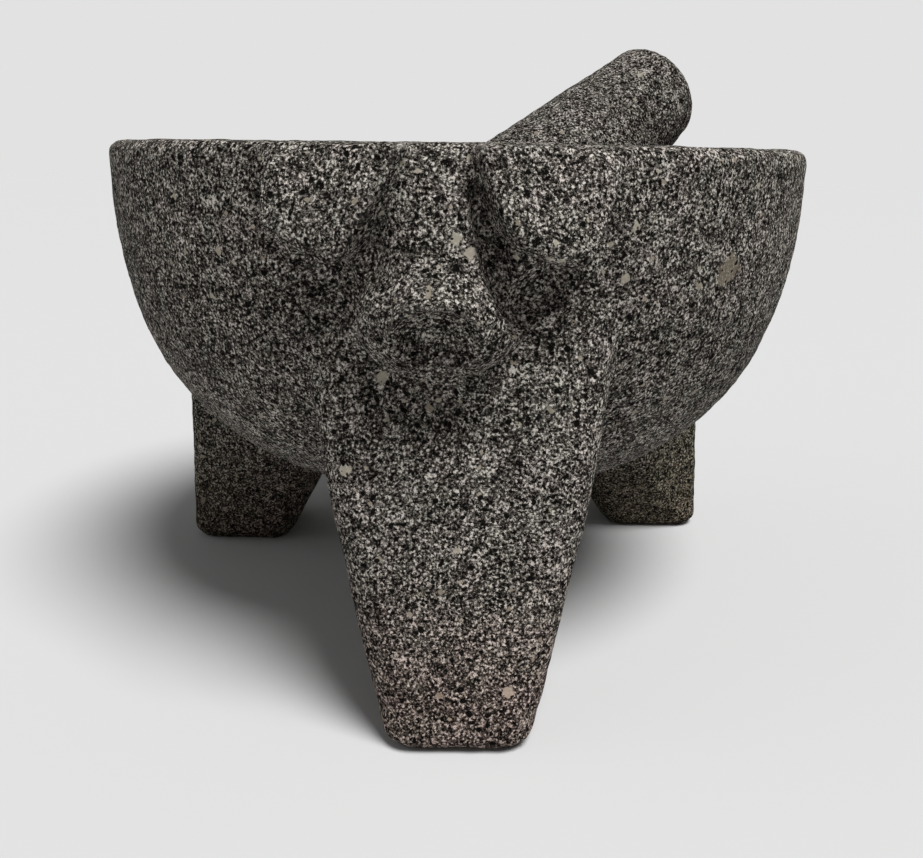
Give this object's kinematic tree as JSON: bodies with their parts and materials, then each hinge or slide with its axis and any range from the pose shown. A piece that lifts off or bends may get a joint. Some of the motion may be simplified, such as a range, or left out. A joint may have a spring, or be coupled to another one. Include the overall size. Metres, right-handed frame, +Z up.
{
  "type": "molcajete",
  "caption": "Three-legged carved stone grinding bowl with a pig's head in relief above its front leg, and a tapering hand stone that rests in it and lifts out.",
  "frame": {"origin": "on the ground, under the middle of the overall box; the bowl's own axis stands 6.1 mm behind it", "axes": "+Z up; -Y to the front, where the pig's head and the front leg are; +X to the right seen from the front"},
  "size_m": [0.204, 0.2158, 0.1747],
  "materials": {
    "basalt": "rough, vesicular, with pale feldspar flecks",
    "hand_stone": "rough, vesicular, a little worn"
  },
  "bodies": {
    "bowl": {"stone_bowl": "basalt"},
    "hand_stone": {"tejolote": "hand_stone"}
  },
  "joints": [
    {"name": "tejolote_lift", "type": "slide", "parent": "bowl", "child": "hand_stone", "axis": [0, 0, 1], "range_m": [0, 0.12]}
  ]
}
